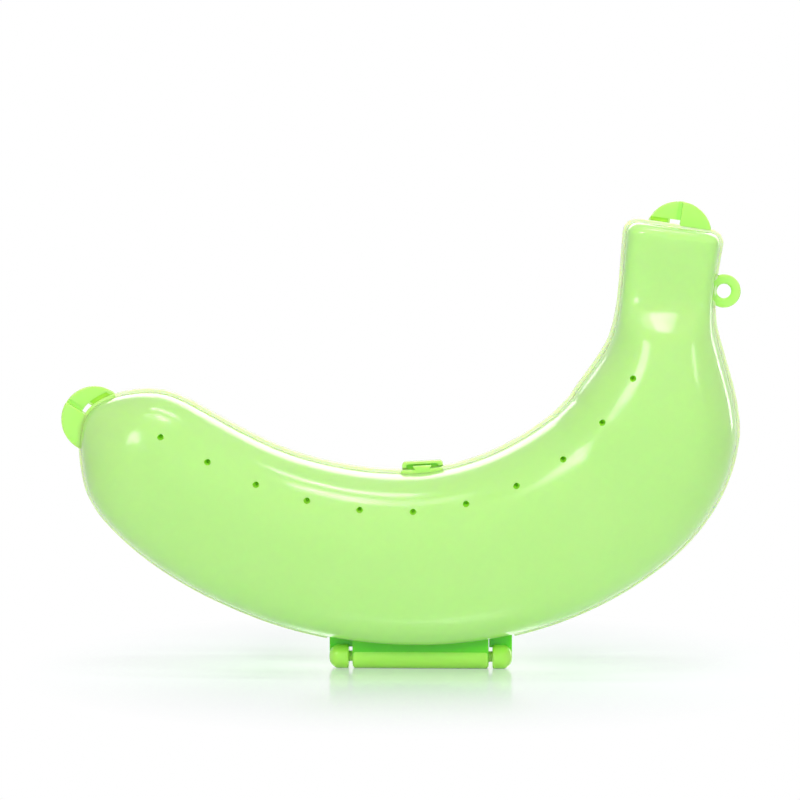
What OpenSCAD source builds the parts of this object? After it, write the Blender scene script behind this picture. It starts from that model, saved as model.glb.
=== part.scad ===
// Banana carrying case: two moulded half shells on a pin hinge, closed by a small clasp.
// It stands on its hinge. X runs from the blunt tip to the neck, Y from front to back and Z up.
// The halves meet at Y = 0, and the origin is under the middle of the hinge, on the floor.

/* [Spine] */
// Length of the spine through the blunt tip
tip_len = 23; // [20:0.5:30]
// Turn of the spine through the blunt tip, in degrees
tip_bend = -9; // [-12:0.5:8]
// Length of the spine from the tip to the belly
flank_len = 86.5; // [75:0.5:100]
// Turn of the spine from the tip to the belly, in degrees
flank_bend = 42.8; // [25:0.1:45]
// Length of the spine from the belly to the shoulder
haunch_len = 59.5; // [52:0.5:75]
// Turn of the spine from the belly to the shoulder, in degrees
haunch_bend = 36.7; // [30:0.1:48]
// Length of the spine around the shoulder
shoulder_len = 26.4; // [25:0.1:36]
// Turn of the spine around the shoulder, in degrees
shoulder_bend = 38.9; // [25:0.1:42]
// Length of the spine where the shoulder narrows to the neck
nape_len = 23.3; // [20:0.1:30]
// Turn of the spine where the shoulder narrows to the neck, in degrees
nape_bend = 11.1; // [0:0.1:18]
// Length of the spine along the neck
neck_len = 32.4; // [26:0.1:45]
// Turn of the spine along the neck, in degrees
neck_bend = -6.9; // [-12:0.1:4]
// Rise of the spine towards the neck over the middle of the hinge, in degrees
belly_tilt = 1.9; // [0:0.1:3]
// Place of the collar, where the shoulder has flattened out, as a share of the neck
collar_share = 0.35; // [0.3:0.05:0.5]

/* [Half widths] */
// Half width at the end of the tip, before it is rounded
tip_w = 12.3; // [10:0.1:15]
// Half width at the root of the tip
root_w = 21.2; // [18:0.1:22]
// Half width halfway along the flank
flank_w = 24.3; // [22:0.1:25]
// Half width at the belly, over the hinge
belly_w = 25.4; // [23:0.1:27]
// Half width at the end of the haunch
haunch_w = 26.8; // [24:0.1:28]
// Half width at the end of the shoulder
shoulder_w = 24.6; // [22:0.1:26]
// Half width at the end of the nape
nape_w = 15.3; // [13.5:0.1:17]
// Half width at the collar
collar_w = 13.4; // [11.5:0.1:15]
// Half width at the end of the neck
neck_w = 13.9; // [11.5:0.1:15.5]

/* [Depths of one half] */
// Depth at the end of the tip, before it is rounded
tip_depth = 12.5; // [10:0.1:16]
// Depth at the root of the tip
root_depth = 19.5; // [17:0.1:22]
// Depth halfway along the flank
flank_depth = 22.5; // [20:0.1:25]
// Depth at the belly
belly_depth = 24; // [20:0.1:27]
// Depth at the end of the haunch
haunch_depth = 24; // [20:0.1:27]
// Depth at the end of the shoulder
shoulder_depth = 23.8; // [20:0.1:26]
// Depth at the end of the nape
nape_depth = 19; // [15:0.1:20]
// Depth at the collar
collar_depth = 11.6; // [10:0.1:15]
// Depth at the end of the neck
neck_depth = 12; // [10:0.1:15]

/* [Shell] */
// Wall of each half shell
wall = 1.8; // [1.2:0.1:2.4]
// Length over which the blunt tip is rounded
tip_round = 16; // [12:0.5:20]
// Corner radius at the flat end of the neck
end_round = 3.2; // [2.6:0.1:5]
// Straight wall beside the parting face
band = 2; // [1.8:0.1:3]
// Exponent of the body's section, 2 is an ellipse
body_square = 2.3; // [2:0.1:3]
// Exponent of the neck's section, larger is boxier
neck_square = 3.6; // [2.4:0.1:5]

/* [Vents] */
// Number of vent holes in each half
vent_count = 11; // [5:1:11]
// Diameter of a vent hole
vent_d = 1.6; // [1:0.1:3]
// Distance between neighbouring vents
vent_pitch = 15.5; // [12:0.1:16]
// Distance of the vents from the concave edge over the belly
vent_inset = 9.3; // [8:0.1:14]
// How much further from the edge the row of vents would be at the end of the tip
vent_drift = 2.4; // [0:0.1:3]
// Place of the first vent along the spine
vent_start = 20.7; // [20:0.1:32]

/* [Rim] */
// Width of the rim flange outside the shell
rim_w = 1; // [0.8:0.1:2]
// Thickness of each half's rim flange
rim_t = 1.6; // [1.2:0.1:1.8]
// Thickness of the locating lip
lip_t = 0.9; // [0.7:0.1:1.2]
// Height of the locating lip above the parting face
lip_h = 1.2; // [0.8:0.1:1.5]
// Depth of the lip's root below the parting face
lip_root = 1.8; // [1:0.1:1.8]
// Gap between the lip and the wall that it locates
lip_gap = 0.15; // [0.1:0.05:0.3]

/* [Pull tabs] */
// Radius of the disc that each pair of pull tabs makes
tab_r = 9.7; // [8:0.1:12]
// Thickness of a pull tab
tab_t = 1.6; // [1.2:0.1:2.4]
// How far a rear tab reaches behind the front tab, past the split
tab_lap = 0.8; // [0.4:0.1:1.5]
// Width of the step beside the split in the face of a rear tab
step_w = 1.2; // [0.8:0.1:1.6]
// Depth of the step beside the split
step_d = 0.5; // [0.3:0.1:0.8]
// Distance of the tip disc's centre inside the end of the tip
tip_tab_inset = 2.2; // [1:0.1:5]
// Shift of the tip disc towards the concave side
tip_tab_shift = 0; // [0:0.1:3]
// Distance of the neck disc's centre inside the end of the neck
neck_tab_inset = 2; // [1:0.1:4]
// Shift of the neck disc towards the convex side
neck_tab_shift = 1.4; // [0:0.1:3]
// Width of the notch at the foot of a rear tab
notch_w = 3; // [2:0.1:4]
// Height of the notch and of the groove at the foot of a rear tab
notch_h = 1.2; // [1:0.1:2]
// Length of the groove beside the notch
groove_len = 5; // [3:0.1:5.5]
// Depth of the groove in the face of a rear tab
groove_d = 0.9; // [0.4:0.1:1]
// Land between the notch and the groove
groove_land = 0.6; // [0.4:0.1:1]

/* [Lanyard ring] */
// Outer radius of the ring
ring_r = 4.9; // [4.5:0.1:6]
// Radius of the ring's hole
ring_hole_r = 2.1; // [1.5:0.1:2.4]
// Thickness of the ring
ring_t = 2.4; // [1.8:0.1:3.2]
// Chamfer around the outside of the ring
ring_chamfer = 0.6; // [0.2:0.1:0.8]
// Distance of the hole's centre outside the rim
ring_stand = 2.3; // [2.3:0.1:3.5]
// Distance of the ring from the end of the neck
ring_from_end = 17.5; // [15:0.5:26]

/* [Hinge] */
// Length of the barrel on the front half
barrel_len = 40.2; // [30:0.2:46]
// Radius of the barrel and the knuckles
barrel_r = 3.6; // [3.2:0.1:4.2]
// Length of each knuckle on the rear half
knuckle_len = 5.8; // [5:0.1:8]
// Gap between the barrel and each knuckle
knuckle_gap = 1.1; // [0.5:0.1:1.6]
// Radius of the rounded outer end of a knuckle
knuckle_round = 3; // [1:0.1:3.1]
// Closed wall at the outer end of a knuckle
knuckle_wall = 1.4; // [1:0.1:2]
// Thickness of the leaves between the hinge and the shells
leaf_t = 3.2; // [2.4:0.1:3.2]
// Radius of the hinge pin
pin_r = 1.6; // [1.2:0.05:2]
// Running clearance of the pin in the barrel
pin_run = 0.06; // [0.03:0.01:0.1]
// Clearance of the pin in the knuckles that hold it
pin_hold = 0.02; // [0.01:0.01:0.03]
// Height cut off the underside of the hinge as a foot
foot_cut = 0.1; // [0.05:0.05:0.3]
// Gap between the barrel and the belly of the rear shell
belly_gap = 0.4; // [0.3:0.1:1]
// Gap between the ends of the rims and the knuckles
rim_gap = 0.5; // [0.3:0.1:1.5]

/* [Clasp] */
// Width of the clasp keeper
clasp_w = 12; // [10:0.5:16]
// Height of the clasp keeper above the rim
clasp_h = 2.2; // [2.2:0.1:4]
// Thickness of the keeper's roof
roof_t = 0.8; // [0.6:0.1:1.2]
// Thickness of the keeper's cheeks
cheek_t = 1.3; // [0.8:0.1:2]
// Width of the tongue's head
head_w = 5.6; // [4:0.1:6.5]
// Width of the tongue's foot
foot_w = 2.6; // [1.6:0.1:4]
// Forward reach of the pad under the tongue
pad_reach = 4.2; // [2.4:0.1:6]
// Place of the clasp beyond the belly, along the spine towards the neck
clasp_shift = 2; // [0:0.5:4]
// Clearance between the keeper and the front half
clasp_gap = 0.35; // [0.3:0.05:0.6]

/* [Hidden] */

$fn = 48;
lime = [0.72, 0.96, 0.51];
lime_edge = [0.79, 0.97, 0.5];
lime_deep = [0.45, 0.82, 0.25];

// Angle at which the rounded tip starts, and the steps of the lofts
tip_angle = 6;
tip_step = 12;
stretch_steps = [2, 11, 10, 8, 6, 4];
corner_steps = 4;
arc_steps = 16;
// Smallest corner that an inner skin keeps at the end of the neck
least_corner = 0.2;
// Halvings in the search for the next vent
vent_tries = 16;
// Length by which a cutting solid passes the faces that it opens
past = 1;

hinge_z = barrel_r - foot_cut;
belly_z = hinge_z + barrel_r + belly_gap + belly_w;
knuckle_start = barrel_len / 2 + knuckle_gap;
hinge_half = knuckle_start + knuckle_len;

// The spine is a chain of arcs, laid out so that it passes over the middle of the hinge
arc_len = [tip_len, flank_len, haunch_len, shoulder_len, nape_len, neck_len];
arc_bend = [tip_bend, flank_bend, haunch_bend, shoulder_bend, nape_bend, neck_bend];
arcs = len(arc_len);
function total(list, count) = count == 0 ? list[0] * 0 : total(list, count - 1) + list[count - 1];
arc_s = [for (i = [0:arcs]) total(arc_len, i)];
arc_head = [for (i = [0:arcs]) total(arc_bend, i) - tip_bend - flank_bend + belly_tilt];
function chord(run, turn) = abs(turn) < 0.01 ? run : run * sin(turn / 2) * 360 / (PI * turn);
function along(i, run) =
    let (turn = arc_bend[i] * run / arc_len[i], aim = arc_head[i] + turn / 2)
    chord(run, turn) * [cos(aim), sin(aim)];
arc_moves = [for (i = [0:arcs - 1]) along(i, arc_len[i])];
arc_start = [for (i = [0:arcs]) total(arc_moves, i) - total(arc_moves, 2) + [0, belly_z]];
function arc_at(s) = max([for (i = [0:arcs - 1]) if (i == 0 || s >= arc_s[i]) i]);
function spine(s) = let (i = arc_at(s)) arc_start[i] + along(i, s - arc_s[i]);
function heading(s) = let (i = arc_at(s)) arc_head[i] + arc_bend[i] * (s - arc_s[i]) / arc_len[i];
function beside(s, off) = spine(s) + off * [-sin(heading(s)), cos(heading(s))];
spine_len = arc_s[arcs];
belly_s = arc_s[2];
clasp_s = belly_s + clasp_shift;
ring_s = spine_len - ring_from_end;

// Widths, depths and section exponents run smoothly through their values at these places
mid_flank = (arc_s[1] + arc_s[2]) / 2;
collar_s = arc_s[5] + collar_share * neck_len;
knots = [0, arc_s[1], mid_flank, arc_s[2], arc_s[3], arc_s[4], arc_s[5], collar_s, arc_s[6]];
widths = [tip_w, root_w, flank_w, belly_w, haunch_w, shoulder_w, nape_w, collar_w, neck_w];
depths = [tip_depth, root_depth, flank_depth, belly_depth, haunch_depth, shoulder_depth, nape_depth,
    collar_depth, neck_depth];
squares = [for (place = knots) place < collar_s ? body_square : neck_square];
function slope(list, i) =
    let (a = max(i - 1, 0), b = min(i + 1, len(knots) - 1))
    (list[b] - list[a]) / (knots[b] - knots[a]);
function smooth(list, s) =
    let (i = max([for (k = [0:len(knots) - 2]) if (k == 0 || s >= knots[k]) k]))
    let (run = knots[i + 1] - knots[i], t = (s - knots[i]) / run)
    list[i] * (1 + 2 * t) * pow(1 - t, 2) + slope(list, i) * run * t * pow(1 - t, 2)
    + list[i + 1] * t * t * (3 - 2 * t) + slope(list, i + 1) * run * t * t * (t - 1);

// Each station holds its place on the spine, its share of the full size and how far it is drawn in
function end_corner(inset) = max(end_round - inset, least_corner);
function stations(inset) =
    let (corner = end_corner(inset), last = spine_len - inset - corner)
    concat(
        [for (a = [tip_angle:tip_step:90 - tip_step / 2])
            [tip_round - (tip_round - inset) * cos(a), sin(a), 0]],
        [for (i = [0:arcs - 1])
            let (from = max(arc_s[i], tip_round), to = min(arc_s[i + 1], last), steps = stretch_steps[i])
            for (k = [0:steps - 1]) [from + (to - from) * k / steps, 1, 0]],
        [[last, 1, 0]],
        [for (i = [1:corner_steps]) let (a = 90 * i / corner_steps)
            [last + corner * sin(a), 1, corner * (1 - cos(a))]]);
function half_width(station, inset) = (smooth(widths, station[0]) - inset) * station[1] - station[2];
function crown(station, inset) = (smooth(depths, station[0]) - inset - band) * station[1] - station[2];

// Half a superellipse on a straight band, from the concave edge round to the convex edge
function section(station, inset) =
    let (w = half_width(station, inset), d = crown(station, inset), power = 2 / smooth(squares, station[0]))
    concat(
        [[w, 0]],
        [for (j = [0:arc_steps]) let (t = 180 * j / arc_steps)
            [w * sign(cos(t)) * pow(abs(cos(t)), power), -band - d * pow(sin(t), power)]],
        [[-w, 0]]);
function ring_points(station, inset) =
    [for (p = section(station, inset)) let (c = beside(station[0], p[0])) [c[0], p[1], c[1]]];
function skin(inset) = [for (station = stations(inset)) each ring_points(station, inset)];

// Outline of the body at the parting face, clockwise from the tip along the concave edge
function outline(inset) =
    let (list = stations(inset), n = len(list))
    concat(
        [for (i = [0:n - 1]) beside(list[i][0], half_width(list[i], inset))],
        [for (i = [n - 1:-1:0]) beside(list[i][0], -half_width(list[i], inset))]);
function unit(v) = v / norm(v);
function outward(list, i) =
    let (n = len(list), d = list[(i + 1) % n] - list[(i + n - 1) % n])
    unit([-d[1], d[0]]);
body_line = outline(0);
function edge_line(reach) = [for (i = [0:len(body_line) - 1]) body_line[i] + reach * outward(body_line, i)];
rim_line = edge_line(rim_w);
foot_line = edge_line(rim_w + notch_h);

// Vents step at an equal pitch along a line that drifts from the concave edge towards its ends
function vent_point(s) =
    beside(s, smooth(widths, s) - vent_inset - vent_drift * pow(s / belly_s - 1, 2));
function next_vent(s, low, high, tries) =
    let (mid = (low + high) / 2, near = norm(vent_point(mid) - vent_point(s)) < vent_pitch)
    tries == 0 ? mid : next_vent(s, near ? mid : low, near ? high : mid, tries - 1);
function after(s) = next_vent(s, s, s + 2 * vent_pitch, vent_tries);
vent_places = [for (i = 0, s = vent_start; i < vent_count; s = after(s), i = i + 1) s];
vent_reach = belly_depth + haunch_depth;

module slab(y0, y1) {
    translate([0, y1, 0]) rotate([90, 0, 0]) linear_extrude(height = y1 - y0) children();
}

// One wall between an outer and an inner skin, open at the parting face
module wall_between(outer, inner) {
    ring = arc_steps + 3;
    rows = len(outer) / ring;
    far = len(outer);
    end = (rows - 1) * ring;
    faces = concat(
        [for (i = [0:rows - 2], j = [0:ring - 2]) let (a = i * ring + j) each
            [[a, a + ring, a + ring + 1], [a, a + ring + 1, a + 1],
             [far + a, far + a + ring + 1, far + a + ring], [far + a, far + a + 1, far + a + ring + 1]]],
        [for (i = [0:rows - 2]) let (a = i * ring, b = a + ring - 1) each
            [[a, far + a, far + a + ring, a + ring], [far + b, b, b + ring, far + b + ring]]],
        [[for (j = [0:ring - 1]) j], [for (j = [ring - 1:-1:0]) far + j],
         [for (j = [ring - 1:-1:0]) end + j], [for (j = [0:ring - 1]) far + end + j],
         [0, ring - 1, far + ring - 1, far], [far + end, far + end + ring - 1, end + ring - 1, end]]);
    polyhedron(points = concat(outer, inner), faces = faces, convexity = 8);
}

module half_shell() {
    difference() {
        wall_between(skin(0), skin(wall));
        for (s = vent_places) {
            p = vent_point(s);
            translate([p[0], -band, p[1]]) rotate([90, 0, 0]) cylinder(d = vent_d, h = vent_reach);
        }
    }
}

module rim_ring() {
    gap_half = hinge_half + rim_gap;
    difference() {
        polygon(rim_line);
        polygon(body_line);
        translate([-gap_half, 0]) square([2 * gap_half, belly_z]);
    }
}

// Frame at an end of the spine: first axis outwards, second towards the concave side
module at_tip() {
    translate(spine(0)) rotate(heading(0)) mirror([1, 0]) children();
}

module at_neck() {
    translate(spine(spine_len)) rotate(heading(spine_len)) children();
}

module at_end(tip) {
    if (tip) at_tip() children();
    else at_neck() children();
}

// Strip along the spine at an end, between two distances from it
module strip(from, to) {
    translate([-tab_r, from]) square([2 * tab_r, to - from]);
}

// Part of a tab's disc outside the rim, between two distances from the split
module split_disc(tip, inset, shift, from, to) {
    difference() {
        at_end(tip) translate([-inset, shift]) intersection() {
            circle(tab_r);
            strip(from, to);
        }
        polygon(rim_line);
    }
}

// Frame on the rim over the belly: first axis along the rim, second outwards
module at_clasp() {
    translate(beside(clasp_s, smooth(widths, clasp_s) + rim_w)) rotate(heading(clasp_s)) children();
}

// Frame on the convex rim beside the ring: first axis along the rim, second towards the body
module at_ring() {
    translate(beside(ring_s, -smooth(widths, ring_s) - rim_w)) rotate(heading(ring_s)) children();
}

// Stretch of the neck where the rear rim gives way to the ring, and the front rim to a cord
module ring_span() {
    at_ring() square([2 * ring_r, 4 * rim_w], center = true);
}

module open_rim() {
    difference() {
        rim_ring();
        ring_span();
    }
}

// Flat leaf of a given width that joins the hinge to the underside of a shell
module leaf(middle, width) {
    difference() {
        translate([middle - width / 2, hinge_z]) square([width, belly_w]);
        polygon(body_line);
    }
}

// Puts a turned piece on the hinge line, pointing to the right or to the left
module on_hinge(x, side = 1) {
    translate([x, 0, hinge_z]) rotate([0, 90 * side, 0]) children();
}

module below_floor() {
    translate([-hinge_half - past, -2 * barrel_r, -2 * barrel_r])
        cube([2 * (hinge_half + past), 4 * barrel_r, 2 * barrel_r]);
}

module front_shell() {
    color(lime) half_shell();
}

module rear_shell() {
    color(lime) mirror([0, 1, 0]) half_shell();
}

module front_rim() {
    color(lime_edge) slab(-rim_t, 0) open_rim();
}

module rear_rim() {
    color(lime_edge) slab(0, rim_t) open_rim();
}

// The lip is rooted on the rear wall and stands clear of the front wall
module locating_lip() {
    inner = wall + lip_gap + lip_t;
    color(lime) {
        slab(0, lip_root) difference() {
            polygon(outline(wall));
            polygon(outline(inner));
        }
        slab(-lip_h, 0) difference() {
            polygon(outline(wall + lip_gap));
            polygon(outline(inner));
        }
    }
}

module front_tab(tip, inset, shift) {
    slab(-tab_t, 0) split_disc(tip, inset, shift, -tab_r, 0);
}

// A tab with a notch and a groove at its foot, and a step that runs under the front tab's edge
module rear_tab(tip, inset, shift) {
    notch_end = shift + notch_w;
    groove_start = notch_end + groove_land;
    difference() {
        slab(0, tab_t) difference() {
            split_disc(tip, inset, shift, -tab_lap, tab_r);
            intersection() {
                polygon(foot_line);
                at_end(tip) strip(shift, notch_end);
            }
        }
        slab(-past, groove_d) intersection() {
            polygon(foot_line);
            at_end(tip) strip(groove_start, groove_start + groove_len);
        }
        slab(-past, step_d) at_end(tip) strip(shift - 2 * tab_lap, shift + step_w);
    }
}

module front_tip_tab() {
    color(lime_edge) front_tab(true, tip_tab_inset, tip_tab_shift);
}

module rear_tip_tab() {
    color(lime_edge) rear_tab(true, tip_tab_inset, tip_tab_shift);
}

module front_neck_tab() {
    color(lime_edge) front_tab(false, neck_tab_inset, -neck_tab_shift);
}

module rear_neck_tab() {
    color(lime_edge) rear_tab(false, neck_tab_inset, -neck_tab_shift);
}

// A turned eye with a foot that fills the break in the rear rim
module lanyard_ring() {
    centre = beside(ring_s, -smooth(widths, ring_s) - rim_w - ring_stand);
    color(lime_edge) {
        difference() {
            translate([centre[0], ring_t, centre[1]]) rotate([90, 0, 0]) difference() {
                union() {
                    cylinder(r1 = ring_r - ring_chamfer, r2 = ring_r, h = ring_chamfer);
                    translate([0, 0, ring_chamfer]) cylinder(r = ring_r, h = ring_t - 2 * ring_chamfer);
                    translate([0, 0, ring_t - ring_chamfer])
                        cylinder(r1 = ring_r, r2 = ring_r - ring_chamfer, h = ring_chamfer);
                }
                translate([0, 0, -past]) cylinder(r = ring_hole_r, h = ring_t + 2 * past);
            }
            slab(-past, ring_t + past) polygon(body_line);
        }
        slab(0, rim_t) intersection() {
            rim_ring();
            ring_span();
        }
    }
}

module hinge_barrel() {
    color(lime_deep) difference() {
        union() {
            on_hinge(-barrel_len / 2) cylinder(r = barrel_r, h = barrel_len);
            slab(-leaf_t, 0) leaf(0, barrel_len);
        }
        on_hinge(-barrel_len / 2 - past) cylinder(r = pin_r + pin_run, h = barrel_len + 2 * past);
        below_floor();
    }
}

// A knuckle with a rounded outer end, its leaf on the rear half and a blind bore for the pin
module knuckle(side) {
    core = knuckle_len - knuckle_round;
    difference() {
        union() {
            on_hinge(side * knuckle_start, side) rotate_extrude() {
                square([barrel_r, core]);
                square([barrel_r - knuckle_round, knuckle_len]);
                intersection() {
                    translate([barrel_r - knuckle_round, core]) circle(knuckle_round);
                    square([barrel_r, knuckle_len]);
                }
            }
            slab(0, leaf_t) leaf(side * (knuckle_start + knuckle_len / 2), knuckle_len);
        }
        on_hinge(side * (knuckle_start - past), side)
            cylinder(r = pin_r + pin_hold, h = knuckle_len - knuckle_wall + past);
        below_floor();
    }
}

module left_knuckle() {
    color(lime_deep) knuckle(-1);
}

module right_knuckle() {
    color(lime_deep) knuckle(1);
}

module hinge_pin() {
    reach = hinge_half - knuckle_wall;
    color(lime_deep) on_hinge(-reach) cylinder(r = pin_r, h = 2 * reach);
}

module keeper_block() {
    at_clasp() translate([-clasp_w / 2, -rim_w]) square([clasp_w, clasp_h + rim_w]);
}

// A hood on the rear rim that reaches forward over the front rim, with a pocket for the tongue
module clasp_keeper() {
    pocket_half = clasp_w / 2 - cheek_t;
    color(lime) {
        slab(0, rim_t) difference() {
            keeper_block();
            polygon(rim_line);
        }
        slab(-rim_t, 0) difference() {
            keeper_block();
            translate([0, clasp_gap]) polygon(rim_line);
            at_clasp() translate([-pocket_half, -clasp_h]) square([2 * pocket_half, 2 * clasp_h - roof_t]);
        }
    }
}

module wedge() {
    top = clasp_h - roof_t - clasp_gap;
    foot = foot_w / 2;
    head = head_w / 2;
    at_clasp() polygon([[-foot, -rim_w], [foot, -rim_w], [head, top], [-head, top]]);
}

// A wedge on the front rim, wide at the head, that stands in the keeper's pocket on a forward pad
module clasp_tongue() {
    color(lime_edge) {
        slab(-rim_t, -clasp_gap) difference() {
            wedge();
            polygon(rim_line);
        }
        slab(-pad_reach, -rim_t) difference() {
            union() {
                intersection() {
                    at_clasp() translate([-clasp_w / 2, -2 * rim_w]) square([clasp_w, 2 * rim_w + clasp_h]);
                    polygon(rim_line);
                }
                wedge();
            }
            polygon(body_line);
        }
    }
}

front_shell();
front_rim();
front_tip_tab();
front_neck_tab();
hinge_barrel();
clasp_tongue();
rear_shell();
rear_rim();
locating_lip();
rear_tip_tab();
rear_neck_tab();
lanyard_ring();
left_knuckle();
right_knuckle();
hinge_pin();
clasp_keeper();
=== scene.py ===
import math

import bmesh
import bpy
from mathutils import Matrix, Vector


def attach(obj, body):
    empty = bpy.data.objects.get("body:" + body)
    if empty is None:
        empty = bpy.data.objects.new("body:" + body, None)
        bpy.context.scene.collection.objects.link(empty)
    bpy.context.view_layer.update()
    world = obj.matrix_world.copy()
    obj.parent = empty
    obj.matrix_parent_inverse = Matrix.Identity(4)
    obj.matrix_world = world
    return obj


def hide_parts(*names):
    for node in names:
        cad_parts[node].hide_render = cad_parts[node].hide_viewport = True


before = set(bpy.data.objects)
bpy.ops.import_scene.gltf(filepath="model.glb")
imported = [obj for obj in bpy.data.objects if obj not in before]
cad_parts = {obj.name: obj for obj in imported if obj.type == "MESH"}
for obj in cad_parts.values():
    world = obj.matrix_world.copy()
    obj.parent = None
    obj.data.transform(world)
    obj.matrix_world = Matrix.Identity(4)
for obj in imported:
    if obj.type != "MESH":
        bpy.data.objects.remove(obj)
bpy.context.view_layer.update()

# Half shells. Two mirror-image shells of lime polypropylene, each injection-moulded in one shot with a
# wall of 1.8 mm. The body is drawn along a chain of arcs from the blunt tip to the flat end of the neck,
# and eleven vents are cored through each half beside the concave edge. Their walls are painted a deeper
# green, as painted shade inside the holes.
MM = 0.001
TIP, FLANK, HAUNCH, SHOULDER, NAPE, NECK = 23, 86.5, 59.5, 26.4, 23.3, 32.4
SPINE_ARCS = ((TIP, -9), (FLANK, 42.8), (HAUNCH, 36.7), (SHOULDER, 38.9), (NAPE, 11.1), (NECK, -6.9))
BELLY = TIP + FLANK
BELLY_HEIGHT = 32.9
BELLY_TILT = 1.9
NECK_START = BELLY + HAUNCH + SHOULDER + NAPE
COLLAR_SHARE = 0.35
COLLAR = NECK_START + COLLAR_SHARE * NECK
SPINE_LENGTH = NECK_START + NECK
KNOTS = (0, TIP, TIP + FLANK / 2, BELLY, BELLY + HAUNCH, NECK_START - NAPE, NECK_START, COLLAR, SPINE_LENGTH)
HALF_WIDTHS = (12.3, 21.2, 24.3, 25.4, 26.8, 24.6, 15.3, 13.4, 13.9)
DEPTHS = (12.5, 19.5, 22.5, 24, 24, 23.8, 19, 11.6, 12)
BODY_SQUARE, NECK_SQUARE = 2.3, 3.6
SQUARENESS = tuple(BODY_SQUARE if knot < COLLAR else NECK_SQUARE for knot in KNOTS)
WALL = 1.8
BAND = 2.0
TIP_ROUND = 16.0
END_ROUND = 3.2
TIP_STEPS, BODY_STEPS, CORNER_STEPS, END_STEPS, SECTION_STEPS = 22, 150, 6, 4, 44
WELD = 0.002


def from_tip(place):
    """How far the spine leads from the tip, (x, z) in mm, and its heading, at a distance along it."""
    x = z = 0
    heading = math.radians(BELLY_TILT - SPINE_ARCS[0][1] - SPINE_ARCS[1][1])
    for length, turn in SPINE_ARCS:
        run = min(place, length)
        bend = math.radians(turn) * run / length
        chord = run * (math.sin(bend / 2) / (bend / 2) if bend else 1)
        x += chord * math.cos(heading + bend / 2)
        z += chord * math.sin(heading + bend / 2)
        heading += bend
        place -= run
    return x, z, heading


BELLY_X, BELLY_Z, _ = from_tip(BELLY)


def spine(place):
    """Where the spine is, (x, z) in mm, and its heading. At the belly it passes over the middle of the hinge."""
    x, z, heading = from_tip(place)
    return x - BELLY_X, z - BELLY_Z + BELLY_HEIGHT, heading


def smooth(values, place):
    """A size along the spine, on a cubic through its values at the knots."""
    def slope(i):
        a, b = max(i - 1, 0), min(i + 1, len(KNOTS) - 1)
        return (values[b] - values[a]) / (KNOTS[b] - KNOTS[a])
    i = max(k for k in range(len(KNOTS) - 1) if k == 0 or place >= KNOTS[k])
    run = KNOTS[i + 1] - KNOTS[i]
    t = (place - KNOTS[i]) / run
    return (values[i] * (1 + 2 * t) * (1 - t) ** 2 + slope(i) * run * t * (1 - t) ** 2
            + values[i + 1] * t * t * (3 - 2 * t) + slope(i + 1) * run * t * t * (t - 1))


def beside(place, offset):
    """A point beside the spine, (x, z) in mm, with the concave side positive."""
    x, z, heading = spine(place)
    return x - offset * math.sin(heading), z + offset * math.cos(heading)


def stations(inset):
    """Each station's place, its share of the full size, how far it is drawn in, and how far it is open."""
    corner = END_ROUND - inset
    last = SPINE_LENGTH - inset - corner
    for i in range(TIP_STEPS):
        a = math.pi / 2 * i / TIP_STEPS
        yield TIP_ROUND - (TIP_ROUND - inset) * math.cos(a), math.sin(a), 0, 1
    for i in range(BODY_STEPS):
        yield TIP_ROUND + (last - TIP_ROUND) * i / BODY_STEPS, 1, 0, 1
    for i in range(CORNER_STEPS + 1):
        a = math.pi / 2 * i / CORNER_STEPS
        yield last + corner * math.sin(a), 1, corner * (1 - math.cos(a)), 1
    for i in range(1, END_STEPS + 1):
        yield last + corner, 1, corner, 1 - i / END_STEPS


def half_width(station, inset):
    """Half the body's width at a station."""
    place, share, drawn, opened = station
    return ((smooth(HALF_WIDTHS, place) - inset) * share - drawn) * opened


def crown(station, inset):
    """How far the body rises past its straight band at a station."""
    place, share, drawn, opened = station
    return ((smooth(DEPTHS, place) - inset - BAND) * share - drawn) * opened


def section(station, inset, side):
    """Half a superellipse on a straight band, from the concave edge round to the convex edge."""
    wide, deep = half_width(station, inset), crown(station, inset)
    power = 2 / smooth(SQUARENESS, station[0])
    flat = [(wide, 0)]
    for i in range(SECTION_STEPS + 1):
        t = math.pi * i / SECTION_STEPS
        reach = math.copysign(abs(math.cos(t)) ** power, math.cos(t))
        flat.append((wide * reach, BAND + deep * abs(math.sin(t)) ** power))
    flat.append((-wide, 0))
    points = []
    for offset, depth in flat:
        x, z = beside(station[0], offset)
        points.append((x, side * depth, z))
    return points


def loft(rows):
    """A closed skin through rows of points in mm, on a grid that is then welded where rows or points meet."""
    bm = bmesh.new()
    bmesh.ops.create_grid(bm, x_segments=len(rows[0]) - 1, y_segments=len(rows) - 1, size=1)
    for vert, point in zip(bm.verts, (point for row in rows for point in row)):
        vert.co = Vector(point) * MM
    bmesh.ops.remove_doubles(bm, verts=bm.verts, dist=WELD * MM)
    open_edges = [edge for edge in bm.edges if edge.is_boundary]
    if open_edges:
        bmesh.ops.holes_fill(bm, edges=open_edges)
    bmesh.ops.recalc_face_normals(bm, faces=bm.faces)
    return bm


def turned(bm, profile, centre, axis, steps=48):
    """Adds a solid turned about a level axis, from (radius, height) pairs in mm. They make a closed line, or
    start and end on the axis."""
    up = Vector((0, 0, 1))
    verts = [bm.verts.new((Vector(centre) + up * radius + Vector(axis) * height) * MM)
             for radius, height in profile]
    edges = [bm.edges.new(pair) for pair in zip(verts, verts[1:])]
    bmesh.ops.spin(bm, geom=verts + edges, cent=Vector(centre) * MM, axis=axis, dvec=(0, 0, 0),
                   angle=2 * math.pi, steps=steps, use_merge=True)
    bmesh.ops.remove_doubles(bm, verts=bm.verts, dist=WELD * MM)
    bmesh.ops.recalc_face_normals(bm, faces=bm.faces)


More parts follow.
